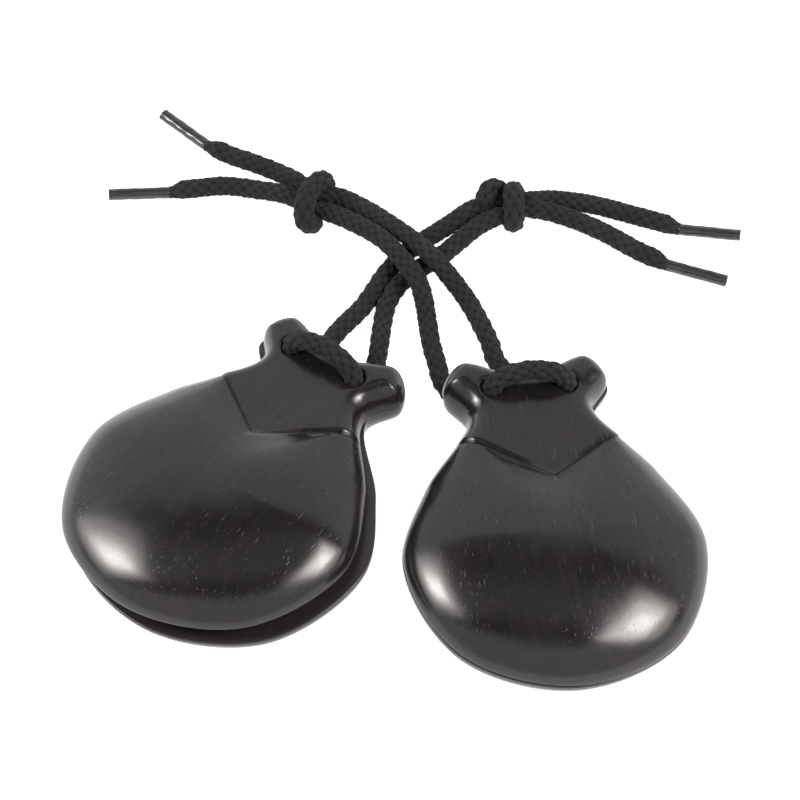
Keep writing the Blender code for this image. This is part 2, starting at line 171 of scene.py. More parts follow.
LEFT_LEG_A = [(-11.4, 51.8, CORD_Z), (-5.1, 59.7, CORD_Z), (0.4, 69.3, CORD_Z),
              (4.6, 74.6, CORD_Z), (9.1, 78.5, CORD_Z), (14.6, 82.7, 2.4), (20.3, 86.4, 3.6)]
LEFT_LEG_B = [(-1.8, 45.2, CORD_Z), (-0.7, 54.1, CORD_Z), (0.4, 60.2, CORD_Z),
              (3.2, 65.8, CORD_Z), (8.0, 70.4, CORD_Z), (13.4, 74.4, CORD_Z),
              (17.6, 78.6, 2.4), (22.6, 82.4, 3.6)]
RIGHT_LEG_A = [(13.1, 38.6, CORD_Z), (11.8, 43.8, CORD_Z), (10.5, 49.4, CORD_Z),
               (9.7, 55.2, 2.6), (8.8, 60.0, 5.0), (7.2, 64.5, OVER_Z), (3.6, 70.2, OVER_Z),
               (-0.1, 74.9, OVER_Z), (-4.9, 80.2, 4.8), (-11.1, 84.4, 3.9)]
RIGHT_LEG_B = [(25.5, 44.1, CORD_Z), (23.9, 49.6, CORD_Z), (21.5, 55.8, CORD_Z),
               (19.0, 61.0, 2.6), (15.0, 65.9, 5.0), (10.8, 70.5, OVER_Z), (5.3, 76.2, OVER_Z),
               (1.4, 80.3, 5.8), (-3.2, 85.0, 4.3), (-10.6, 89.6, 4.0)]
LEFT_TAIL_A = [(32.8, 88.5, 4.2), (39.0, 90.0, 2.6), (47.8, 88.9, CORD_Z), (59.4, 85.2, CORD_Z),
               (68.6, 82.1, CORD_Z)]
LEFT_TAIL_B = [(34.2, 86.2, 4.0), (41.0, 85.6, 2.4), (49.9, 81.3, CORD_Z), (59.0, 75.2, CORD_Z),
               (65.4, 71.8, CORD_Z)]
RIGHT_TAIL_A = [(-21.2, 94.6, 4.0), (-25.6, 98.2, 2.5), (-31.2, 101.0, CORD_Z),
                (-36.9, 103.4, CORD_Z), (-42.2, 106.6, CORD_Z)]
RIGHT_TAIL_B = [(-23.3, 90.4, 4.0), (-29.4, 92.9, 2.4), (-37.6, 94.2, CORD_Z),
                (-44.6, 93.5, CORD_Z), (-50.7, 92.8, CORD_Z)]
# "plus" is the strand in the hole on the +u side, "knot" its place in the knot.
LEFT_STRANDS = {
    "plus": {"letter": "b", "leg": LEFT_LEG_B, "knot": (28.9, 84.7, KNOT_STRAND_Z),
             "tail": LEFT_TAIL_B},
    "minus": {"letter": "a", "leg": LEFT_LEG_A, "knot": (28.2, 88.0, KNOT_STRAND_Z + 0.4),
              "tail": LEFT_TAIL_A}}
RIGHT_STRANDS = {
    "plus": {"letter": "a", "leg": RIGHT_LEG_B, "knot": (-16.6, 90.2, KNOT_STRAND_Z + 0.2),
             "tail": RIGHT_TAIL_A},
    "minus": {"letter": "b", "leg": RIGHT_LEG_A, "knot": (-17.8, 86.6, KNOT_STRAND_Z),
              "tail": RIGHT_TAIL_B}}
AGLET_ENDS = {"left_a": (82.7, 80.4), "left_b": (79.0, 67.3),
              "right_a": (-52.4, 115.6), "right_b": (-64.7, 92.2)}
AGLET_RADIUS = 1.35
AGLET_LENGTH = 13.6
AGLET_Z = 1.6
AGLET_CLEARANCE = 0.5         # from the cord's tail to the film
AGLET_AROUND = 60
AGLET_STEP = 0.3
AGLET_MOUTH = ((-0.7, 0.94), (-0.6, 0.99), (-0.45, 1.0))     # place and share of the radius
AGLET_TIP = ((0.4, 1.01), (0.05, 1.03), (0.0, 1.01), (0.02, 0.90), (0.15, 0.86), (0.9, 0.84),
             (1.0, 0.6), (0.85, 0.3))                        # measured back from the end
FILM_INSET = 0.02
TAPER_LENGTH = 3.6            # a cord narrows into its aglet over this length
CORE_RADIUS = AGLET_RADIUS - 0.1      # what is left of the cord where it enters the aglet

LEFT_KNOT = (29.5, 86.3, 4.9)
RIGHT_KNOT = (-17.2, 87.6, 4.9)
# Route of each knot's wrap, from the knot's middle.
LEFT_WRAP = [(-6.2, -0.6, -0.6), (-6.0, 1.6, 1.4), (-5.0, 3.6, 2.0), (-3.0, 4.5, 0.2),
             (-1.6, 3.0, -2.5), (-0.4, -0.8, -3.0), (0.3, -3.5, -1.4), (0.4, -3.3, 1.2),
             (0.3, -1.2, 2.9), (0.2, 1.4, 3.1), (0.4, 3.4, 1.3), (0.9, 3.2, -1.2),
             (1.2, 1.2, -2.2)]
RIGHT_WRAP = [(1.6, -2.2, -1.8), (0.2, -4.4, -2.2), (-1.3, -5.5, -0.2), (-1.7, -4.2, 2.0),
              (-1.2, -1.2, 3.1), (0.2, 1.9, 3.3), (2.0, 4.4, 2.3), (3.1, 5.5, 0.2),
              (2.6, 4.4, -2.0), (1.0, 1.2, -2.9), (0.2, -0.8, -1.6)]
WRAP_RADIUS = 2.2
WRAP_SEED = 5.0
WRAP_END_RADIUS = 1.2
WRAP_END_LENGTH = 2.5         # the wrap swells to its radius over this length


# ---------- curves and outlines
def centripetal(points, closed, steps):
    """Points on a centripetal Catmull-Rom curve through the given points."""
    nodes = [Vector(p) for p in points]
    if not closed:
        nodes = [2 * nodes[0] - nodes[1]] + nodes + [2 * nodes[-1] - nodes[-2]]
    count = len(nodes)
    spans = range(count) if closed else range(1, count - 2)
    curve = []
    for i in spans:
        p = [nodes[(i + k) % count] for k in (-1, 0, 1, 2)]
        t = [0.0]
        for a, b in zip(p, p[1:]):
            t.append(t[-1] + math.sqrt((b - a).length))
        for step in range(steps):
            x = t[1] + (t[2] - t[1]) * step / steps
            a = [p[k] * ((t[k + 1] - x) / (t[k + 1] - t[k]))
                 + p[k + 1] * ((x - t[k]) / (t[k + 1] - t[k])) for k in range(3)]
            b = [a[k] * ((t[k + 2] - x) / (t[k + 2] - t[k]))
                 + a[k + 1] * ((x - t[k]) / (t[k + 2] - t[k])) for k in range(2)]
            curve.append(b[0] * ((t[2] - x) / (t[2] - t[1])) + b[1] * ((x - t[1]) / (t[2] - t[1])))
    if not closed:
        curve.append(nodes[-2])
    return np.array([tuple(p) for p in curve])


def resampled(curve, step, closed):
    """The same curve with points a nearly equal step apart."""
    if closed:
        curve = np.vstack([curve, curve[:1]])
    along = np.concatenate([[0.0], np.cumsum(np.linalg.norm(np.diff(curve, axis=0), axis=1))])
    count = max(2, int(round(along[-1] / step)))
    wanted = np.linspace(0.0, along[-1], count + 1)
    if closed:
        wanted = wanted[:-1]
    return np.stack([np.interp(wanted, along, curve[:, k]) for k in range(curve.shape[1])], 1)


def smoothstep(x):
    """0 below 0, 1 above 1 and smooth between."""
    x = np.clip(x, 0.0, 1.0)
    return x * x * (3.0 - 2.0 * x)


def shell_outline(castanet):
    """Closed outline of one castanet's shells, its body scaled in width."""
    half = [(u * (castanet["body_scale"] if i < BODY_POINTS else 1.0), v)
            for i, (u, v) in enumerate(HALF_OUTLINE)]
    mirrored = [(-u, v) for u, v in half[-2:0:-1]]
    return centripetal(half + mirrored, True, FINE_STEPS)


def distance_to(loop, points):
    """Distance from each point to the closed loop."""
    side = np.roll(loop, -1, axis=0) - loop
    length2 = (side ** 2).sum(1)
    best = np.empty(len(points))
    for start in range(0, len(points), BATCH):
        p = points[start:start + BATCH, None, :] - loop[None]
        t = np.clip((p * side[None]).sum(2) / length2[None], 0.0, 1.0)
        gap = np.linalg.norm(p - side[None] * t[..., None], axis=2)
        best[start:start + BATCH] = gap.min(1)
    return best


def inside(loop, points):
    """Whether each point lies inside the closed loop."""
    hit = np.zeros(len(points), bool)
    b = np.roll(loop, -1, axis=0)
    for start in range(0, len(points), BATCH):
        x, y = points[start:start + BATCH, 0:1], points[start:start + BATCH, 1:2]
        crosses = (loop[None, :, 1] > y) != (b[None, :, 1] > y)
        height = np.where(b[:, 1] == loop[:, 1], 1.0, b[:, 1] - loop[:, 1])
        at = loop[None, :, 0] + (b[:, 0] - loop[:, 0])[None] * (y - loop[None, :, 1]) / height[None]
        hit[start:start + BATCH] = (crosses & (x < at)).sum(1) % 2 == 1
    return hit


# ---------- shell heights
def edge_profile(distance, reach, power):
    """Superellipse quarter: 0 on the outline, 1 from the reach inward."""
    x = 1.0 - np.clip(distance / reach, 0.0, 1.0)
    return (1.0 - x ** power) ** (1.0 / power)


def chevron_v(u, castanet):
    """The V of the step's upper edge."""
    return CHEVRON_TIP_V + CHEVRON_SLOPE * np.abs(u - castanet["chevron_shift"])


def back_height(points, distance, castanet):
    """Height of the outer surface over the sounding face, before the holes' flare."""
    u, v = points[:, 0], points[:, 1]
    ahead = (chevron_v(u, castanet) - v) * CHEVRON_SLANT
    across = u - castanet["chevron_shift"]
    rounded = (np.hypot(across, RISE_ROUNDING) - math.hypot(RISE_TRUE_AT, RISE_ROUNDING)
               + RISE_TRUE_AT)
    climb = (CHEVRON_TIP_V + CHEVRON_SLOPE * rounded - v) * CHEVRON_SLANT / RISE_LENGTH
    rise = RISE_EARLY * np.sin(0.5 * math.pi * np.clip(climb, 0.0, 1.0)) + (
        1.0 - RISE_EARLY) * smoothstep(climb)
    low = NECK_HEIGHT - STEP_DROP
    crown = DOME_HEIGHT * (
        1.0 + castanet["lean"] * np.clip(v - DOME_MIDDLE_V, *LEAN_RANGE) / LEAN_LENGTH)
    body = (low + (crown - low) * rise) * edge_profile(
        distance, NECK_REACH + (DOME_REACH - NECK_REACH) * rise,
        NECK_POWER + (DOME_POWER - NECK_POWER) * rise)
    arm = np.where(across < 0.0, *castanet["arms"])
    groove = GROOVE_DEPTH * np.exp(-((ahead - GROOVE_AT) / GROOVE_WIDTH) ** 2)
    body = body - groove * np.clip(body / low, 0.0, 1.0) * arm
    neck = NECK_HEIGHT * edge_profile(distance, NECK_REACH, NECK_POWER)
    soft = smoothstep(ahead / SOFT_STEP)
    keen = arm + (1.0 - arm) * soft
    roll = np.clip(ahead / STEP_WIDTH, 0.0, 1.0)
    foot = smoothstep((ahead - STEP_WIDTH) / STEP_FOOT)
    step = keen * ((1.0 - FOOT_SHARE) * roll ** 2 + FOOT_SHARE * foot) + (1.0 - keen) * soft
    height = neck + (body - neck) * step
    return height + RIM_RADIUS * np.exp(-height / RIM_FADE)


def shade_line_at(points, castanet):
    """How close a point is to the painted shade line in the foot of the chevron's step, 0..1."""
    ahead = (chevron_v(points[:, 0], castanet) - points[:, 1]) * CHEVRON_SLANT
    return np.exp(-((ahead - SHADE_LINE_AT) / SHADE_LINE_WIDTH) ** 2)


def hole_flare(points, flare):
    """Depth of the rounded countersinks round the two cord holes."""
    depth = np.zeros(len(points))
    for side in (-1, 1):
        r = np.hypot(points[:, 0] - side * HOLE_U, points[:, 1] - HOLE_V)
        x = np.clip(1.0 - (r - HOLE_RADIUS) / (flare + FLARE_MARGIN), 0.0, 1.0)
        depth = np.maximum(depth, flare * x ** FLARE_POWER)
    return depth


def face_depth(points, distance):
    """Height of the sounding face: its rounded rims and the hollow."""
    u, v = points[:, 0], points[:, 1]
    near = np.clip(RIM_RADIUS - distance, 0.0, RIM_RADIUS)
    rim = RIM_RADIUS - np.sqrt(np.maximum(RIM_RADIUS ** 2 - near ** 2, 0.0))
    along = (v - HOLLOW_CENTRE_V) / HOLLOW_RADII[1]
    taper = 1.0 - HOLLOW_TAPER * np.clip(along, 0.0, 1.0)
    rho2 = (u / (HOLLOW_RADII[0] * taper)) ** 2 + along ** 2
    return rim + HOLLOW_RADII[2] * np.sqrt(np.clip(1.0 - rho2, 0.0, 1.0))


# ---------- shell mesh
def hollow_ring(rho):
    """Points on a smaller copy of the hollow's rim."""
    ring = []
    for i in range(HOLLOW_POINTS):
        turn = 2 * math.pi * i / HOLLOW_POINTS
        along = rho * math.sin(turn)
        taper = 1.0 - HOLLOW_TAPER * max(along, 0.0)
        ring.append((rho * math.cos(turn) * HOLLOW_RADII[0] * taper,
                     HOLLOW_CENTRE_V + HOLLOW_RADII[1] * along))
    return np.array(ring)


def circle(u, v, radius):
    """Points round a cord hole."""
    turn = np.arange(HOLE_POINTS) * 2 * math.pi / HOLE_POINTS
    return np.stack([u + radius * np.cos(turn), v + radius * np.sin(turn)], 1)


def inset_ring(outline, fine, inset):
    """The outline moved inward, without the points that come too near another side."""
    along = np.roll(outline, -1, axis=0) - np.roll(outline, 1, axis=0)
    inward = np.stack([-along[:, 1], along[:, 0]], 1) / np.linalg.norm(along, axis=1)[:, None]
    moved = outline + inward * inset
    keep = inside(fine, moved) & (distance_to(fine, moved) > inset * 0.985)
    return moved[keep]


def triangulated(outline, loops, spots):
    """Constrained triangles over the outline's inside, and where each loop's points went."""
    points = [tuple(p) for p in outline]
    edges = [(i, (i + 1) % len(outline)) for i in range(len(outline))]
    for loop in loops:
        start = len(points)
        points += [tuple(p) for p in loop]
        edges += [(start + i, start + (i + 1) % len(loop)) for i in range(len(loop))]
    points += [tuple(p) for p in spots]
    flat, _, faces, origin, _, _ = delaunay_2d_cdt(
        [Vector(p) for p in points], edges, [], 0, 1e-5, True)
    became = {old: new for new, olds in enumerate(origin) for old in olds}
    walls, start = [], 0
    for loop in [outline] + loops:
        walls.append([became[start + i] for i in range(len(loop))])
        start += len(loop)
    return np.array([tuple(p) for p in flat]), np.array(faces), walls


def hexagonal(fine, margin, step):
    """A grid of equilateral triangles, kept a margin inside the outline."""
    low, high = fine.min(0), fine.max(0)
    rows = []
    for j, v in enumerate(np.arange(low[1], high[1], step * ROW_RATIO)):
        u = np.arange(low[0], high[0], step) + (j % 2) * step / 2
        rows.append(np.stack([u, np.full(len(u), v)], 1))
    spots = np.vstack(rows)
    spots = spots[inside(fine, spots)]
    return spots[distance_to(fine, spots) > margin]


def away_from(spots, others, gap):
    """The spots that no point of the others is near."""
    keep = np.ones(len(spots), bool)
    for start in range(0, len(spots), BATCH):
        d = np.linalg.norm(spots[start:start + BATCH, None] - others[None], axis=2).min(1)
        keep[start:start + BATCH] = d > gap
    return spots[keep]


def step_lines(castanet, fine):
    """Mesh points in lines along the chevron's two arms, close together over the step."""
    tip = castanet["chevron_shift"]
    left = np.linspace(-STEP_LINE_END_U, tip, STEP_LINE_POINTS)
    right = np.linspace(tip, STEP_LINE_END_U, STEP_LINE_POINTS)[1:]
    u = np.concatenate([left, right])
    lines = []
    for ahead in STEP_LINES:
        line = np.stack([u, chevron_v(u, castanet) - ahead / CHEVRON_SLANT], 1)
        kept = inside(fine, line)
        kept[kept] = distance_to(fine, line[kept]) > STEP_LINE_MARGIN
        lines.append(line[kept])
    return lines


def shell_surfaces(castanet):
    """Flat triangulations of a shell's back and of its face, sharing outline and hole points."""
    fine = shell_outline(castanet)
    outline = resampled(fine, OUTLINE_STEP, True)
    centres = np.array([(-HOLE_U, HOLE_V), (HOLE_U, HOLE_V)])
    holes = [circle(u, v, HOLE_RADIUS) for u, v in centres]
    collars = [circle(u, v, HOLE_RADIUS + extra) for u, v in centres for extra in HOLE_COLLARS]

    def filled(placed, grid, gap):
        spots = away_from(grid, np.vstack(placed + holes), gap)
        spots = away_from(np.vstack([spots] + placed), centres, HOLE_RADIUS + HOLE_MARGIN)
        return triangulated(outline, holes, spots)

    rings = [inset_ring(outline, fine, inset) for inset in RIM_INSETS]
    grid = hexagonal(fine, RIM_INSETS[-1] + BACK_MARGIN, INNER_STEP)
    back = filled(rings + step_lines(castanet, fine) + collars, grid, BACK_SPOT_GAP)

    rings = [inset_ring(outline, fine, inset) for inset in FACE_INSETS]
    hollow = [hollow_ring(rho) for rho in HOLLOW_RINGS]
    grid = hexagonal(fine, FACE_MARGIN, FACE_STEP)
    face = filled(rings + hollow, grid, FACE_SPOT_GAP)
    return {"fine": fine, "back": back, "face": face}


def new_mesh(name, verts, faces, sharp_over=None):
    """Smooth-shaded mesh, with sharp edges where it turns by more than some degrees."""
    mesh = bpy.data.meshes.new(name)
    mesh.from_pydata(verts, [], faces)
    mesh.update()
    mesh.shade_smooth()
    if sharp_over:
        mesh.set_sharp_from_angle(angle=math.radians(sharp_over))
    return mesh


def store(mesh, key, values):
    """Numbers kept on the mesh points for a material."""
    data = mesh.attributes.new(key, "FLOAT", "POINT").data
    data.foreach_set("value", np.array(values, dtype=np.float32))


def shell_mesh(name, castanet, surfaces, flare):
    """Closed shell mesh in its own frame, its origin on the hinge line."""
    verts, faces, shade_lines, inner = [], [], [], []
    shared = {}
    for kind in ("back", "face"):
        flat, tris, walls = surfaces[kind]
        middle = flat[tris].mean(1)
        edge, *holes = [flat[wall] for wall in walls]
        kept = inside(edge, middle)
        for hole in holes:
            kept &= ~inside(hole, middle)
        distance = distance_to(surfaces["fine"], flat)
        distance = np.where(distance < ON_OUTLINE, 0.0, distance)
        if kind == "back":
            height = back_height(flat, distance, castanet) - hole_flare(flat, flare)
            # painted shade line along the foot of the chevron's step, for the material
            crease = shade_line_at(flat, castanet)
        else:
            height = face_depth(flat, distance)
            crease = np.zeros(len(flat))
        number = {}
        for i in np.unique(tris[kept]):
            number[i] = len(verts)
            verts.append((flat[i, 0] * MM, (flat[i, 1] - HINGE_V) * MM, height[i] * MM))
            shade_lines.append(crease[i])
            inner.append(0.0 if kind == "back" else 1.0)
        shared[kind] = [[number[i] for i in wall] for wall in walls]
        for a, b, c in tris[kept]:
            across, down = flat[b] - flat[a], flat[c] - flat[a]
            upward = across[0] * down[1] - across[1] * down[0] > 0
            face = (number[a], number[b], number[c])
            faces.append(face if upward == (kind == "back") else face[::-1])

    for wall, (top, low) in enumerate(zip(shared["back"], shared["face"])):
        for i in range(len(top)):
            j = (i + 1) % len(top)
            quad = (low[i], low[j], top[j], top[i])
            faces.append(quad if wall == 0 else quad[::-1])
    mesh = new_mesh(name, verts, [list(map(int, f)) for f in faces], 50)
    store(mesh, "crease", shade_lines)
    store(mesh, "inner", inner)
    return mesh


def shell_matrix(castanet, upper):
    """Where a shell's frame lies in the world, its w axis up."""
    turn = (Matrix.Rotation(math.radians(castanet["yaw"]), 4, "Z")
            @ Matrix.Rotation(math.radians(castanet["pitch"]), 4, "X")
            @ Matrix.Rotation(math.radians(castanet["roll"]), 4, "Y"))
    place = Matrix.Translation(Vector(castanet["place"]) * MM)
    hinge = Matrix.Translation(Vector((0, HINGE_V, 0)) * MM)
    if upper:
        own = (Matrix.Translation((castanet["shift"] * MM, 0, 0))
               @ Matrix.Rotation(math.radians(-castanet["open"]), 4, "X")
               @ Matrix.Translation((0, 0, GAP / 2 * MM)))
    else:
        own = (Matrix.Rotation(math.radians(castanet["twist"]), 4, "Z")
               @ Matrix.Translation((0, 0, -GAP / 2 * MM)))
    return place @ turn @ hinge @ own


def new_object(name, data, material=None):
    """An object in the scene, with its data's material."""
    made = bpy.data.objects.new(name, data)
    bpy.context.scene.collection.objects.link(made)
    if material:
        data.materials.append(material)
    return made


def make_shells(castanet, wood):
    """The upper shell and the lower one, which is its mirror image with deeper flares."""
    surfaces = shell_surfaces(castanet)
    for upper in (True, False):
        level = "upper" if upper else "lower"
        cad_node = "%s_%s_shell" % (castanet["name"], level)
        flare = FLARE_UPPER if upper else FLARE_LOWER
        mesh = shell_mesh(cad_node + "_wood", castanet, surfaces, flare)
        if not upper:
            mesh.transform(Matrix.Scale(-1.0, 4, (0, 0, 1)))
            mesh.flip_normals()
        shell = new_object(cad_node + "_wood", mesh, wood)
        shell.matrix_world = shell_matrix(castanet, upper)
        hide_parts(cad_node)
        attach(shell, "%s_%s" % (castanet["name"], level))


# ---------- cords
def braid_height(along, turn):
    """Relief of a round braid: its height, the place across a yarn and the bundle's family."""
    a = BUNDLES * (turn / (2 * math.pi) + along / BRAID_PITCH)
    b = BUNDLES * (turn / (2 * math.pi) - along / BRAID_PITCH)
    heights = []
    for across, other, sign in ((a, b, 1.0), (b, a, -1.0)):
        cell = np.floor(across)
        part = across - cell
        edge = np.sqrt(np.clip(1.0 - (2.0 * part - 1.0) ** 2 * BUNDLE_ROUNDNESS, 0.0, 1.0))
        wave = sign * np.cos(math.pi * (other - 0.5 + cell))
        yarn = np.abs(np.sin(math.pi * (YARNS * part + 0.12 * np.sin(3.1 * other + cell))))
        heights.append(BUNDLE_RISE * (edge - 1.0) + CROSSING_RISE * wave
                       + YARN_RISE * (yarn ** YARN_POWER - 1.0))
    over = heights[0] > heights[1]
    height = np.where(over, heights[0], heights[1]) - CROSSING_RISE
    across = np.where(over, a, b) * YARNS
    return height, across, over


def frames_along(centre):
    """Two unit vectors across the path at each point, carried along without twist."""
    tangent = np.gradient(centre, axis=0)
    tangent /= np.linalg.norm(tangent, axis=1)[:, None]
    first = np.cross(tangent[0], (0.3, 0.2, 1.0))
    side = first / np.linalg.norm(first)
    sides = np.empty_like(centre)
    for i, t in enumerate(tangent):
        side = side - t * side.dot(t)
        side = side / np.linalg.norm(side)
        sides[i] = side
    return sides, np.cross(tangent, sides)


def braid_mesh(name, centre, radius, sides, ups, start, seed):
    """Closed braided tube round the path; all lengths in mm, the mesh in metres."""
    count = len(centre)
    along = start + np.arange(count) * CENTRE_STEP
    turn = np.arange(AROUND) * 2 * math.pi / AROUND
    s, phi = np.meshgrid(along, turn, indexing="ij")
    height, across, over = braid_height(s, phi)
    wobble = 0.03 * np.sin(s * 0.9 + seed) + 0.025 * np.sin(s * 2.3 + 2 * phi + seed * 1.7)
    reach = radius[:, None] * (1.0 + 0.35 * wobble) + (height + RELIEF_LIFT) * (
        radius[:, None] / CORD_RADIUS)
    spots = (centre[:, None] + sides[:, None] * (reach * np.cos(phi))[..., None]
             + ups[:, None] * (reach * np.sin(phi))[..., None])
    verts = [tuple(v) for v in (spots.reshape(-1, 3) * MM)]
    verts += [tuple(centre[0] * MM), tuple(centre[-1] * MM)]
    ring = np.arange(AROUND)
    nxt = (ring + 1) % AROUND
    rows = np.arange(count - 1)[:, None] * AROUND
    quads = np.stack([rows + ring, rows + nxt, rows + AROUND + nxt, rows + AROUND + ring], 2)
    faces = quads.reshape(-1, 4).tolist()
    first, last = count * AROUND, count * AROUND + 1
    end = (count - 1) * AROUND
    faces += [(first, int(j), int(i)) for i, j in zip(ring, nxt)]
    faces += [(last, end + int(i), end + int(j)) for i, j in zip(ring, nxt)]
    mesh = new_mesh(name, verts, faces)
    yarn = np.zeros((len(verts), 2))
    yarn[:-2, 0] = across.ravel()
    yarn[:-2, 1] = s.ravel() * 0.5 + np.where(over, 0.0, 40.0).ravel()
    corner = np.empty(len(mesh.loops), dtype=np.int32)
    mesh.loops.foreach_get("vertex_index", corner)
    layer = mesh.uv_layers.new(name="yarn")
    layer.data.foreach_set("uv", yarn[corner].astype(np.float32).ravel())
    # painted shade: how deep each point lies in the braid's relief, for darkening its colour
    relief = np.ones(len(verts))
    relief[:-2] = np.clip(1.0 + height.ravel() / DARK_BELOW, 0.0, 1.0)
    store(mesh, "relief", relief)
    return mesh


def strand_route(castanet, side, leg, knot_strand, tail):
    """Route of one strand from the sounding face down, along the table and to its tail's end."""
    place = shell_matrix(castanet, False)

    def spot(w):
        return place @ (Vector((side * HOLE_U, HOLE_V - HINGE_V, -w)) * MM) / MM

    mouth = spot(NECK_HEIGHT)
    heading = Vector((leg[0][0] - mouth.x, leg[0][1] - mouth.y, 0)).normalized()
    bend = []
    for degrees in BEND_ANGLES:
        turn = math.radians(degrees)
        bend.append(Vector((mouth.x, mouth.y, 0)) + heading * BEND_RADIUS * (1 - math.cos(turn))
                    + Vector((0, 0, CORD_Z + BEND_RADIUS * (1 - math.sin(turn)))))
    head = [spot(-0.5), spot(3.0)] + bend
    return [tuple(p) for p in head] + list(leg) + [knot_strand] + list(tail)


def loop_route(castanet):
    """Route of the hand loop over the upper shell, from one hole to the other."""
    place = shell_matrix(castanet, True)
    half = [(HOLE_U + u, HOLE_V + v, w) for u, v, w in LOOP_SIDE]
    crown = [(0.0, HOLE_V + LOOP_LEAN, LOOP_TOP)]
    route = half + crown + [(-u, v, w) for u, v, w in reversed(half)]
    return [tuple(place @ (Vector((u, v - HINGE_V, w)) * MM) / MM) for u, v, w in route]


def end_fades(count, length):
    """For each end of a resampled path, 0 at that end rising to 1 over a length."""
    run = np.arange(count) * CENTRE_STEP
    return [smoothstep(to_end / length) for to_end in (run, run[-1] - run)]


def strand_radius(path, knot):
    """Radius along a whole cord: squeezed in the knot, narrow at the two aglets."""
    from_knot = np.linalg.norm(path - np.array(knot), axis=1)
    squeeze = smoothstep((from_knot - KNOT_CORE) / (KNOT_REACH - KNOT_CORE))
    radius = KNOT_STRAND_RADIUS + (CORD_RADIUS - KNOT_STRAND_RADIUS) * squeeze
    for narrow in end_fades(len(path), TAPER_LENGTH):
        radius = np.minimum(radius, CORE_RADIUS + (CORD_RADIUS - CORE_RADIUS) * narrow)
    return radius


def make_knot(castanet, knot, wrap, cotton):
    """The turn of cord round the two strands of a knot."""
    name = castanet["name"]
    path = resampled(centripetal([tuple(np.add(p, knot)) for p in wrap], False, CURVE_STEPS),
                     CENTRE_STEP, False)
    ends = np.minimum(*end_fades(len(path), WRAP_END_LENGTH))
    radius = WRAP_END_RADIUS + (WRAP_RADIUS - WRAP_END_RADIUS) * ends
    mesh = braid_mesh(name + "_knot_wrap", path, radius, *frames_along(path), 0.0, WRAP_SEED)
    tied = new_object(name + "_knot_wrap", mesh, cotton)
    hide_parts(name + "_cord_knot")
    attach(tied, name + "_lower")
    return tied


def hold(castanet, made):
    """The cord held in the holes between the two shells: hide the CAD loop and bake the cord's
    place into its mesh.
    """
    name = castanet["name"]
    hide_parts(name + "_cord_loop")
    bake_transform(made)


def lay(castanet, made, strand, film):
    """A free end: its leg and tail on the table, attached to the lower shell, with its aglet."""
    name, letter = castanet["name"], strand["letter"]
    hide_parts("%s_cord_leg_%s" % (name, letter), "%s_cord_tail_%s" % (name, letter))
    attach(made, name + "_lower")
    sleeve = make_aglet(name, letter, strand["tail"][-1], film)


def make_cords(castanet, strands, knot, wrap, cotton, film):
    """Each castanet's cord is one length: tail, knot, leg, hand loop, leg, knot, tail."""
    name = castanet["name"]
    routes = {}
    for side, end in ((1, "plus"), (-1, "minus")):
        strand = strands[end]
        routes[end] = strand_route(castanet, side, strand["leg"], strand["knot"], strand["tail"])
    whole = routes["plus"][::-1] + loop_route(castanet) + routes["minus"]
    path = resampled(centripetal(whole, False, CURVE_STEPS), CENTRE_STEP, False)
    sides, ups = frames_along(path)
    radius = strand_radius(path, knot)
    for narrow in end_fades(len(path), TAPER_LENGTH):
        path[:, 2] -= (1.0 - narrow) * (CORD_Z - AGLET_Z)

    def on_table(end):
        """Index of the path point where an end's bend meets the table."""
        foot = np.array(routes[end][len(BEND_ANGLES) + 1])
        return int(np.linalg.norm(path - foot, axis=1).argmin())

    held_run = int(HELD_RUN / CENTRE_STEP)
    cut_plus = on_table("plus") - held_run
    cut_minus = on_table("minus") + held_run
    spans = {"plus": (0, cut_plus + 1), "held": (cut_plus, cut_minus + 1),
             "minus": (cut_minus, len(path))}
    tied = make_knot(castanet, knot, wrap, cotton)
    for part, (start, stop) in spans.items():
        piece = "%s_cord_%s" % (name, part if part == "held" else strands[part]["letter"])
        mesh = braid_mesh(piece, path[start:stop], radius[start:stop], sides[start:stop],
                          ups[start:stop], start * CENTRE_STEP, castanet["seed"])
        made = new_object(piece, mesh, cotton)
        if part == "held":
            hold(castanet, made)
        else:
            lay(castanet, made, strands[part], film)


def film_radius(x, turn, seed):
    """Radius of the rolled film over its nominal one: pressed, creased, with a lapped seam."""
    crease = 0.018 * np.sin(x * 1.9 + 2 * turn + seed) + 0.014 * np.sin(3 * turn - x * 0.8 + seed)
    past_seam = (turn + seed + 0.05 * x) % (2 * math.pi)
    lap = 0.045 * smoothstep(past_seam / 0.12) * (1.0 - smoothstep((past_seam - 0.15) / 1.8))
    press = 1.0 - 0.05 * np.cos(2 * (turn - 0.4 * seed))
    return press + crease + lap


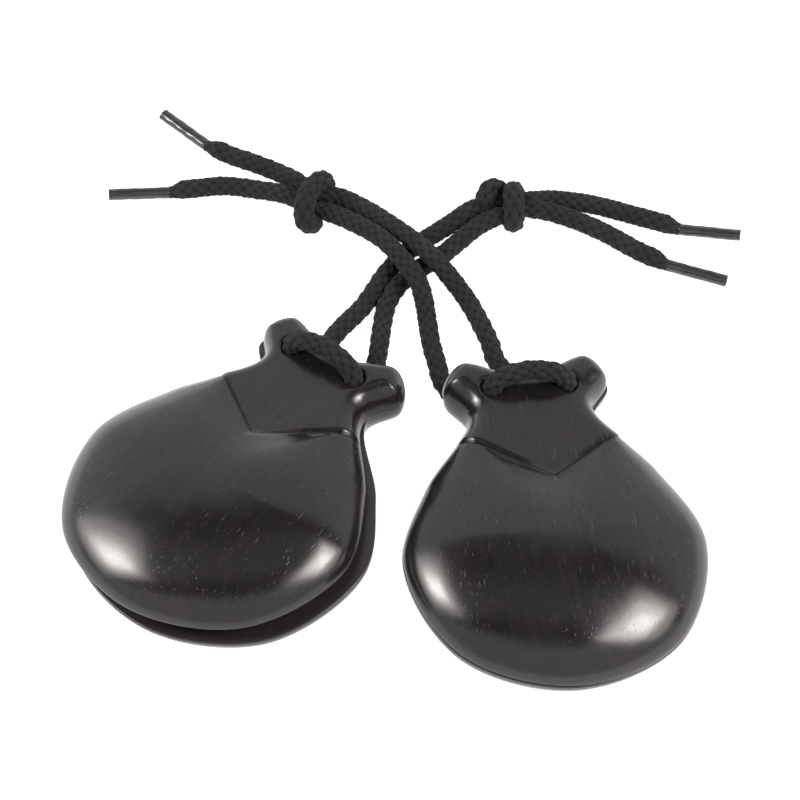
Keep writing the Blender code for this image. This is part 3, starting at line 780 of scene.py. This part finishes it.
def make_aglet(name, letter, tail_end, film):
    """Clear film rolled tight round the cord's end: a thin sleeve, open a little at its tip."""
    tip = AGLET_ENDS["%s_%s" % (name, letter)]
    start = Vector((tail_end[0], tail_end[1], AGLET_Z))
    heading = (Vector((tip[0], tip[1], AGLET_Z)) - start).normalized()
    turn = np.arange(AGLET_AROUND) * 2 * math.pi / AGLET_AROUND
    seed = len(name) + (7 if letter == "a" else 3)
    rings = list(AGLET_MOUTH)
    rings += [(x, 1.0) for x in np.arange(0.0, AGLET_LENGTH - 0.5, AGLET_STEP)]
    rings += [(AGLET_LENGTH - back, share) for back, share in AGLET_TIP]
    verts, faces = [], []
    for x, share in rings:
        radii = AGLET_RADIUS * share * film_radius(x, turn, seed) - FILM_INSET
        verts += [(r * math.cos(t) * MM, r * math.sin(t) * MM, x * MM) for r, t in zip(radii, turn)]
    ring = range(AGLET_AROUND)
    for k in range(len(rings) - 1):
        low, high = k * AGLET_AROUND, (k + 1) * AGLET_AROUND
        for i in ring:
            j = (i + 1) % AGLET_AROUND
            faces.append((low + i, low + j, high + j, high + i))
    faces.append(tuple(ring)[::-1])
    faces.append(tuple((len(rings) - 1) * AGLET_AROUND + i for i in ring))
    piece = "%s_aglet_%s_sleeve" % (name, letter)
    made = new_object(piece, new_mesh(piece, verts, faces, 40), film)
    made.rotation_mode = "QUATERNION"
    made.rotation_quaternion = heading.to_track_quat("Z", "Y")
    made.location = (start + heading * AGLET_CLEARANCE) * MM
    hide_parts("%s_aglet_%s" % (name, letter))
    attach(made, name + "_lower")
    return made


# ---------- camera
def make_camera():
    """Looks down at the pair from the front."""
    data = bpy.data.cameras.new("camera")
    data.lens = CAMERA_LENS
    data.sensor_width = CAMERA_SENSOR
    data.clip_start = 0.01
    data.clip_end = 20.0
    camera = new_object("camera", data)
    up = math.radians(CAMERA_ELEVATION)
    aim = Vector(AIM) * MM
    back = Vector((0.0, -math.cos(up), math.sin(up)))
    camera.location = aim + back * CAMERA_DISTANCE * MM
    camera.rotation_mode = "QUATERNION"
    camera.rotation_quaternion = (-back).to_track_quat("-Z", "Y")
    bpy.context.scene.camera = camera


# ---------- materials
def start_material(name):
    """A new material, its node tree and its Principled shader."""
    material = bpy.data.materials.new(name)
    material.use_nodes = True
    tree = material.node_tree
    return material, tree, tree.nodes["Principled BSDF"]


def feed(tree, socket, value):
    """Link a socket to an output or give it a plain value."""
    if isinstance(value, bpy.types.NodeSocket):
        tree.links.new(value, socket)
    else:
        socket.default_value = value


def node(tree, kind, **inputs):
    """A new node; the inputs' names have _ for each space."""
    made = tree.nodes.new(kind)
    for key, value in inputs.items():
        feed(tree, made.inputs[key.replace("_", " ")], value)
    return made


def math_node(tree, operation, *values):
    made = tree.nodes.new("ShaderNodeMath")
    made.operation = operation
    for socket, value in zip(made.inputs, values):
        feed(tree, socket, value)
    return made.outputs[0]


def stretched(tree, source, scale):
    """The coordinates times a scale for each axis."""
    made = tree.nodes.new("ShaderNodeVectorMath")
    made.operation = "MULTIPLY"
    tree.links.new(source, made.inputs[0])
    made.inputs[1].default_value = scale
    return made.outputs[0]


def between(tree, value, low, high, to_low=0.0, to_high=1.0):
    """Smooth change from one number to another while the value goes from low to high."""
    made = tree.nodes.new("ShaderNodeMapRange")
    made.interpolation_type = "SMOOTHSTEP"
    for socket, number in zip(made.inputs, (value, low, high, to_low, to_high)):
        feed(tree, socket, number)
    return made.outputs["Result"]


def mixed(tree, share, a, b):
    """Colour a where the share is 0, colour b where it is 1."""
    made = tree.nodes.new("ShaderNodeMix")
    made.data_type = "RGBA"
    for index, value in ((0, share), (6, a), (7, b)):
        feed(tree, made.inputs[index], value)
    return made.outputs[2]


def attribute(tree, name):
    """A number stored on the mesh points."""
    made = tree.nodes.new("ShaderNodeAttribute")
    made.attribute_name = name
    return made.outputs["Fac"]


def noise(tree, source, scales, detail=3.0, rough=0.55):
    """Noise with a frequency per metre for each axis of the source."""
    made = node(tree, "ShaderNodeTexNoise", Vector=stretched(tree, source, scales), Scale=1.0,
                Detail=detail, Roughness=rough)
    return made.outputs["Fac"]


def pores(tree, source, cell, stretch, deep, thin, share):
    """Dashes along the grain, 1 inside a pore and 0 outside.

    A pore can lie in each cell, whose width is in mm.  The stretches are how much longer and
    deeper than wide a cell is, thin is a pore's half width over the cell's, and share is how
    many cells have a pore.
    """
    grid = stretched(tree, source, (1000.0 / cell, 1000.0 / (cell * stretch),
                                    1000.0 / (cell * deep)))
    made = node(tree, "ShaderNodeTexVoronoi", Vector=grid, Scale=1.0, Randomness=1.0)
    near = between(tree, made.outputs["Distance"], thin * 0.55, thin, 1.0, 0.0)
    split = node(tree, "ShaderNodeSeparateColor", Color=made.outputs["Color"])
    chosen = math_node(tree, "LESS_THAN", split.outputs[0], share)
    strength = between(tree, split.outputs[1], 0.0, 1.0, 0.35, 1.0)
    return math_node(tree, "MULTIPLY", math_node(tree, "MULTIPLY", near, chosen), strength)


def bumped(tree, shader, strength, depth, height):
    """Fine relief on the shader's normal, its depth in mm."""
    bump = node(tree, "ShaderNodeBump", Strength=strength, Distance=depth * MM, Height=height)
    tree.links.new(bump.outputs[0], shader.inputs["Normal"])


def ebony_material():
    """Near-black polished hardwood: pale pores along the grain, faint reddish bands."""
    material, tree, shader = start_material("ebony_wood")
    dark = (0.0066, 0.0057, 0.0060, 1.0)
    brown = (0.0104, 0.0084, 0.0082, 1.0)
    reddish = (0.0165, 0.0094, 0.0086, 1.0)
    unpolished = (0.0200, 0.0168, 0.0166, 1.0)
    pore_dust = (0.074, 0.061, 0.057, 1.0)

    place = tree.nodes.new("ShaderNodeTexCoord").outputs["Object"]
    bend = node(tree, "ShaderNodeTexNoise", Vector=stretched(tree, place, (40.0, 14.0, 40.0)),
                Scale=1.0, Detail=1.0).outputs["Color"]
    shift = tree.nodes.new("ShaderNodeVectorMath")
    shift.operation = "MULTIPLY_ADD"
    for socket, value in zip(shift.inputs, (bend, (0.0022, 0.0, 0.0022), place)):
        feed(tree, socket, value)
    grain = shift.outputs[0]
    crease = attribute(tree, "crease")
    inner = attribute(tree, "inner")
    streak = noise(tree, grain, (900.0, 45.0, 900.0), 4.0, 0.6)
    band = noise(tree, grain, (110.0, 12.0, 110.0))
    haze = noise(tree, place, (160.0, 110.0, 160.0))
    scratch = noise(tree, grain, (2600.0, 90.0, 2600.0), 2.0)
    patch = between(tree, noise(tree, grain, (60.0, 25.0, 60.0)), 0.35, 0.62, 0.25, 1.0)
    either = math_node(tree, "MAXIMUM", pores(tree, grain, 0.32, 11.0, 2.0, 0.155, 0.35),
                       pores(tree, grain, 0.34, 34.0, 3.0, 0.155, 0.62))
    pore = math_node(tree, "MULTIPLY", either, patch)

    color = mixed(tree, between(tree, streak, 0.35, 0.7), dark, brown)
    color = mixed(tree, between(tree, band, 0.55, 0.75, 0.0, 0.6), color, reddish)
    color = mixed(tree, math_node(tree, "MULTIPLY", inner, 0.8), color, unpolished)
    color = mixed(tree, pore, color, pore_dust)
    tree.links.new(color, shader.inputs["Base Color"])

    rough = math_node(tree, "ADD", between(tree, haze, 0.3, 0.7, 0.155, 0.215),
                      between(tree, scratch, 0.3, 0.75, 0.0, 0.04))
    rough = math_node(tree, "MULTIPLY_ADD", pore, 0.3, rough)
    rough = math_node(tree, "MULTIPLY_ADD", inner, 0.12, rough)
    tree.links.new(rough, shader.inputs["Roughness"])
    # painted shade: the reflection is weakened along the foot of the chevron's step
    tree.links.new(between(tree, crease, 0.0, 1.0, 0.5, 0.14), shader.inputs["Specular IOR Level"])
    relief = math_node(tree, "SUBTRACT", math_node(tree, "MULTIPLY", scratch, 0.10), pore)
    bumped(tree, shader, 0.35, 0.05, math_node(tree, "MULTIPLY_ADD", streak, 0.12, relief))
    shader.inputs["IOR"].default_value = 1.5
    return material


def cotton_material():
    """Black cotton yarns: painted shade between the bundles, fibres along each yarn, a little
    sheen.
    """
    material, tree, shader = start_material("black_cotton_braid")
    fibre_dark = (0.0050, 0.0044, 0.0056, 1.0)
    fibre_light = (0.0250, 0.0222, 0.0275, 1.0)
    faded = (0.0270, 0.0240, 0.0295, 1.0)
    # painted shade for the hollows between the bundles
    gap = (0.0014, 0.0013, 0.0016, 1.0)
    speck = (0.06, 0.056, 0.06, 1.0)

    coords = tree.nodes.new("ShaderNodeTexCoord")
    place = coords.outputs["Object"]
    depth = attribute(tree, "relief")
    fibre = noise(tree, coords.outputs["UV"], (5.0, 2.2, 1.0), 5.0, 0.7)
    worn = noise(tree, place, (120.0, 120.0, 120.0))
    lint = noise(tree, place, (1500.0, 1500.0, 1500.0), 2.0)
    color = mixed(tree, between(tree, fibre, 0.3, 0.75), fibre_dark, fibre_light)
    color = mixed(tree, between(tree, worn, 0.4, 0.7, 0.0, 0.35), color, faded)
    # painted shade: the deeper the braid's relief, the darker its colour
    color = mixed(tree, between(tree, depth, 0.20, 0.90), gap, color)
    color = mixed(tree, between(tree, lint, 0.74, 0.80, 0.0, 0.5), color, speck)
    tree.links.new(color, shader.inputs["Base Color"])
    tree.links.new(between(tree, fibre, 0.2, 0.8, 0.95, 0.78), shader.inputs["Roughness"])
    bumped(tree, shader, 0.8, 0.12, math_node(tree, "MULTIPLY_ADD", lint, 0.5, fibre))
    shader.inputs["Sheen Weight"].default_value = 0.04
    shader.inputs["Sheen Roughness"].default_value = 0.5
    shader.inputs["Specular IOR Level"].default_value = 0.2
    return material


def film_material():
    """Smoky clear film over dark cotton: grey, glossy, streaked along its length."""
    material, tree, shader = start_material("smoky_film_sleeve")
    dark = (0.007, 0.0075, 0.009, 1.0)
    light = (0.024, 0.025, 0.029, 1.0)
    cloudy = (0.013, 0.0135, 0.015, 1.0)

    place = tree.nodes.new("ShaderNodeTexCoord").outputs["Object"]
    streak = noise(tree, place, (1800.0, 1800.0, 130.0), 3.0, 0.6)
    cloud = noise(tree, place, (500.0, 500.0, 260.0))
    color = mixed(tree, between(tree, streak, 0.32, 0.66), dark, light)
    color = mixed(tree, between(tree, cloud, 0.45, 0.7, 0.0, 0.5), color, cloudy)
    tree.links.new(color, shader.inputs["Base Color"])
    tree.links.new(between(tree, cloud, 0.3, 0.7, 0.14, 0.36), shader.inputs["Roughness"])
    bumped(tree, shader, 0.4, 0.08, streak)
    shader.inputs["Coat Weight"].default_value = 0.25
    shader.inputs["Coat Roughness"].default_value = 0.12
    return material


# ---------- studio
FLOOR_HALF = 3.0              # metres
FLOOR_GAP = 0.05
FLOOR_GLOW = 0.92             # the floor is a light table, so it hardly takes a shadow
FLOOR_COLOR = 0.40
# name, direction from the object (degrees to the right and to the back of straight up),
# distance, width and height in metres, radiance, colour
SOFTBOXES = (
    ("left_core", -54.0, 3.0, 0.95, 0.15, 0.27, 19.0, (1.0, 0.965, 0.94)),
    ("left_glow", -55.0, 4.0, 1.00, 0.30, 0.46, 8.0, (1.0, 0.965, 0.94)),
    ("left_halo", -57.0, 6.0, 1.05, 0.56, 0.78, 3.6, (1.0, 0.965, 0.94)),
    ("right_core", 46.0, -13.0, 0.95, 0.18, 0.24, 13.5, (1.0, 0.95, 0.92)),
    ("right_glow", 46.0, -12.0, 1.00, 0.42, 0.44, 9.5, (1.0, 0.95, 0.92)),
    ("right_halo", 51.0, -10.0, 1.05, 0.58, 0.78, 3.8, (1.0, 0.95, 0.92)),
)
# The room's brightness by direction, in degrees back from straight up.
WALL_BACK = (26.0, 35.0)      # the bright back wall fades in
WALL_FRONT = (-21.0, -33.0)   # and the front one
OVERHEAD_AT = 3.0
OVERHEAD_FADE = (6.0, 17.0)   # the dim light above fades out this far from its middle
OVERHEAD_LEVEL = 0.36
ROOM_DIM = 0.05
ROOM_RANGE = 0.93
HORIZON = (0.07, 0.11)        # heights on the unit sphere where the bright horizon fades


def aim_light(name, right, back, distance, width, height, radiance, color):
    """Area light with a given radiance, in a direction given by two angles from straight up."""
    data = bpy.data.lights.new(name, "AREA")
    data.shape = "RECTANGLE"
    data.size = width
    data.size_y = height
    data.energy = radiance * math.pi * width * height
    data.color = color
    light = new_object(name, data)
    angle = math.radians(math.hypot(right, back))
    flat = Vector((right, back, 0.0)).normalized()
    toward = flat * math.sin(angle) + Vector((0.0, 0.0, math.cos(angle)))
    light.location = toward * distance
    light.rotation_mode = "QUATERNION"
    light.rotation_quaternion = toward.to_track_quat("Z", "Y")
    light.visible_camera = False


def make_lights():
    """Softboxes for the highlights and a room that is bright in front, behind and all round."""
    for box in SOFTBOXES:
        aim_light(*box)
    world = bpy.data.worlds.new("studio")
    world.use_nodes = True
    bpy.context.scene.world = world
    tree = world.node_tree
    way = tree.nodes.new("ShaderNodeTexCoord").outputs["Generated"]
    split = node(tree, "ShaderNodeSeparateXYZ", Vector=way)
    lean = math_node(tree, "ARCTAN2", split.outputs["Y"], split.outputs["Z"])
    from_top = math_node(tree, "SUBTRACT", lean, math.radians(OVERHEAD_AT))
    from_top = math_node(tree, "ABSOLUTE", from_top)
    level = between(tree, lean, *map(math.radians, WALL_BACK))
    for other in (between(tree, lean, *map(math.radians, WALL_FRONT)),
                  between(tree, from_top, *map(math.radians, OVERHEAD_FADE), OVERHEAD_LEVEL, 0.0),
                  between(tree, split.outputs["Z"], *HORIZON, 1.0, 0.0)):
        level = math_node(tree, "MAXIMUM", level, other)
    level = math_node(tree, "MULTIPLY_ADD", level, ROOM_RANGE, ROOM_DIM)
    tree.links.new(level, tree.nodes["Background"].inputs["Strength"])
    tree.nodes["Background"].inputs["Color"].default_value = (1.0, 1.0, 1.0, 1.0)


def make_floor():
    """A pale table that glows a little, just under the castanets."""
    material, tree, shader = start_material("light_table")
    shader.inputs["Base Color"].default_value = (FLOOR_COLOR, FLOOR_COLOR, FLOOR_COLOR, 1.0)
    shader.inputs["Roughness"].default_value = 0.9
    shader.inputs["Specular IOR Level"].default_value = 0.0
    shader.inputs["Emission Color"].default_value = (1.0, 1.0, 1.0, 1.0)
    shader.inputs["Emission Strength"].default_value = FLOOR_GLOW
    mesh = bpy.data.meshes.new("light_table")
    h = FLOOR_HALF
    mesh.from_pydata([(-h, -h, 0), (h, -h, 0), (h, h, 0), (-h, h, 0)], [], [(0, 1, 2, 3)])
    floor = new_object("light_table", mesh, material)
    floor.location.z = -FLOOR_GAP * MM


# ---------- the scene
bpy.context.scene.view_settings.view_transform = "Standard"
make_camera()
wood, cotton, film = ebony_material(), cotton_material(), film_material()
for castanet, strands, knot, wrap in ((LEFT, LEFT_STRANDS, LEFT_KNOT, LEFT_WRAP),
                                      (RIGHT, RIGHT_STRANDS, RIGHT_KNOT, RIGHT_WRAP)):
    make_cords(castanet, strands, knot, wrap, cotton, film)
    make_shells(castanet, wood)
make_floor()
make_lights()
